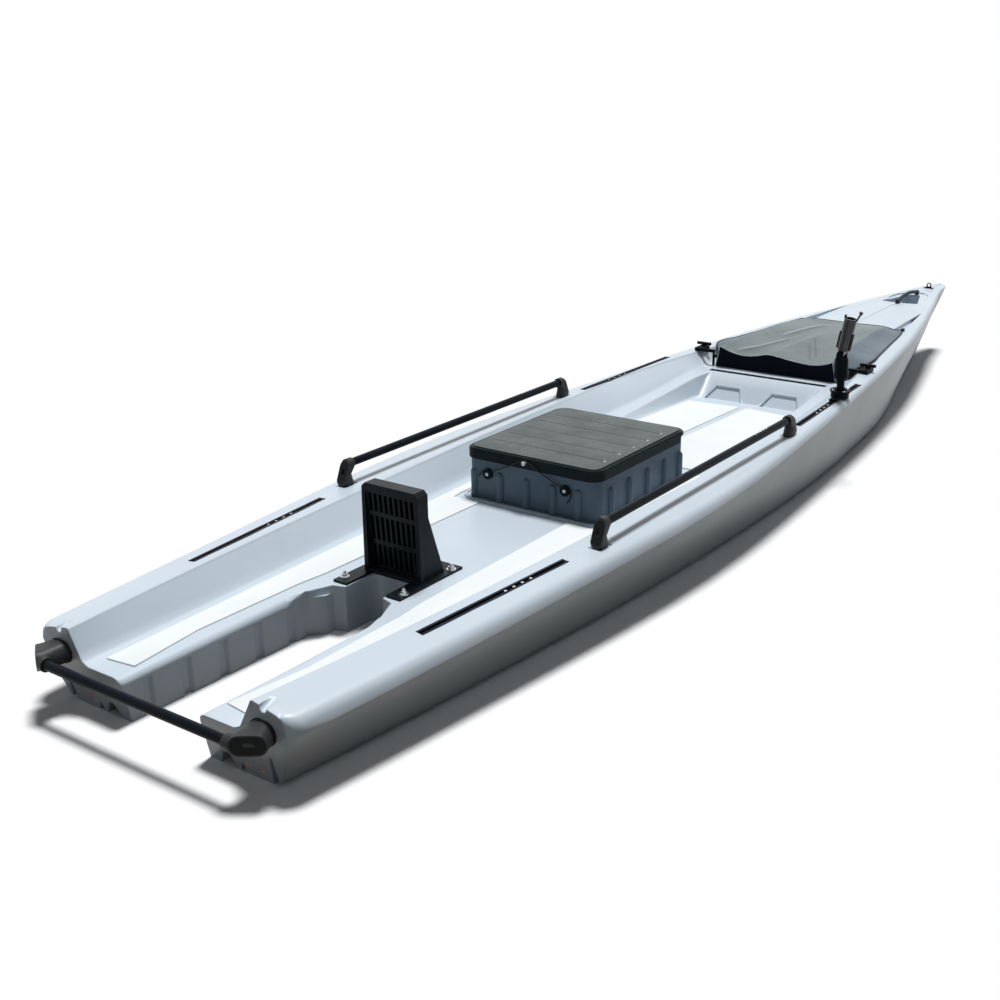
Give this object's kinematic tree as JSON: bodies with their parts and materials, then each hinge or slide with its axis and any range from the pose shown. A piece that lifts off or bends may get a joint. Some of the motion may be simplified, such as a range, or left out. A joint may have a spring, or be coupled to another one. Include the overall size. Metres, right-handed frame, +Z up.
{
  "type": "motorised kayak",
  "caption": "Long rigid skiff kayak with a motor slot and clamp plate between twin stern hulls, lidded console, grab rails, gear tracks, bow cover and rod holder.",
  "frame": {"origin": "on the ground under the middle of the craft, at the level of the flat bottom", "axes": "+Y towards the bow, +X to starboard, +Z up"},
  "size_m": [0.971, 4.6761, 0.5291],
  "materials": {
    "hull_shell_plastic": "moulded, satin",
    "pad_foam": "matt closed-cell foam",
    "black_plastic": "satin",
    "steel": "brushed",
    "console_plastic": "moulded, satin",
    "lid_plastic": "satin",
    "lid_pad_rubber": "stippled",
    "white_plastic": "gloss",
    "elastic": "braided",
    "track_metal": "black anodised",
    "tube_metal": "black, satin",
    "casting": "moulded, satin",
    "gasket_rubber": "matt",
    "brass": "plain",
    "cover_cloth": "coated cloth"
  },
  "bodies": {
    "hull": {"hull_shell": "hull_shell_plastic", "side_pad_port": "pad_foam", "side_pad_stbd": "pad_foam", "fore_pad_port": "pad_foam", "fore_pad_stbd": "pad_foam", "motor_bracket": "black_plastic", "bracket_studs": "steel", "bracket_washers": "steel", "bracket_nuts": "steel", "console_box": "console_plastic", "console_screws": "steel", "box_hinges": "black_plastic", "hinge_pins": "steel", "cord_rings": "black_plastic", "ring_screws": "white_plastic", "elastic_cord": "elastic", "track_aft_port": "track_metal", "track_aft_stbd": "track_metal", "track_fore_port": "track_metal", "track_fore_stbd": "track_metal", "track_cross": "track_metal", "track_screws": "steel", "rail_port": "tube_metal", "rail_stbd": "tube_metal", "rail_foot_aft_port": "casting", "rail_foot_aft_stbd": "casting", "rail_foot_fore_port": "casting", "rail_foot_fore_stbd": "casting", "rail_faces": "black_plastic", "rail_bolts": "steel", "stern_bar": "tube_metal", "stern_foot_port": "casting", "stern_foot_stbd": "casting", "stern_gaskets": "gasket_rubber", "stern_inserts": "brass", "rod_base": "black_plastic", "rod_base_screws": "steel", "bow_handle": "black_plastic", "handle_bolts": "steel", "bow_padeye": "black_plastic", "padeye_screws": "steel"},
    "lid": {"console_lid": "lid_plastic", "lid_pad": "lid_pad_rubber", "lid_catch": "white_plastic", "lid_hinges": "black_plastic"},
    "cover": {"bow_cover": "cover_cloth", "cover_bar": "black_plastic"},
    "knob_port": {"cover_knob_port": "black_plastic", "cover_bolt_port": "steel"},
    "knob_stbd": {"cover_knob_stbd": "black_plastic", "cover_bolt_stbd": "steel"},
    "rod_turret": {"rod_post": "black_plastic", "rod_pivot": "black_plastic"},
    "rod_holder": {"rod_tube": "black_plastic", "rod_cup": "black_plastic"},
    "plug": {"drain_plug": "black_plastic"}
  },
  "joints": [
    {"name": "lid_hinge", "type": "hinge", "parent": "hull", "child": "lid", "pos_m": [0, -0.4874, 0.26531], "axis": [-1, 0, 0], "range_deg": [0, 100], "deforming": ["elastic_cord"]},
    {"name": "cover_fold", "type": "hinge", "parent": "hull", "child": "cover", "pos_m": [0, 1.26703, 0.27456], "axis": [-1, 0, 0], "range_deg": [0, 70]},
    {"name": "knob_port_turn", "type": "hinge", "parent": "cover", "child": "knob_port", "pos_m": [-0.306, 0.59928, 0.25464], "axis": [0, -0.0185, 0.9998], "continuous": true},
    {"name": "knob_stbd_turn", "type": "hinge", "parent": "cover", "child": "knob_stbd", "pos_m": [0.328, 0.59928, 0.25464], "axis": [0, -0.0185, 0.9998], "continuous": true},
    {"name": "rod_swivel", "type": "hinge", "parent": "hull", "child": "rod_turret", "pos_m": [0.37159, 0.24925, 0.24257], "axis": [0.0434, -0.0273, 0.9987], "continuous": true},
    {"name": "rod_tilt", "type": "hinge", "parent": "rod_turret", "child": "rod_holder", "pos_m": [0.36951, 0.24494, 0.38724], "axis": [-0.0426, 0.9987, 0.0291], "range_deg": [-60, 45]},
    {"name": "plug_turn", "type": "hinge", "parent": "hull", "child": "plug", "pos_m": [0, -1.54239, 0.05525], "axis": [0, -0.9998, -0.0185], "continuous": true}
  ]
}
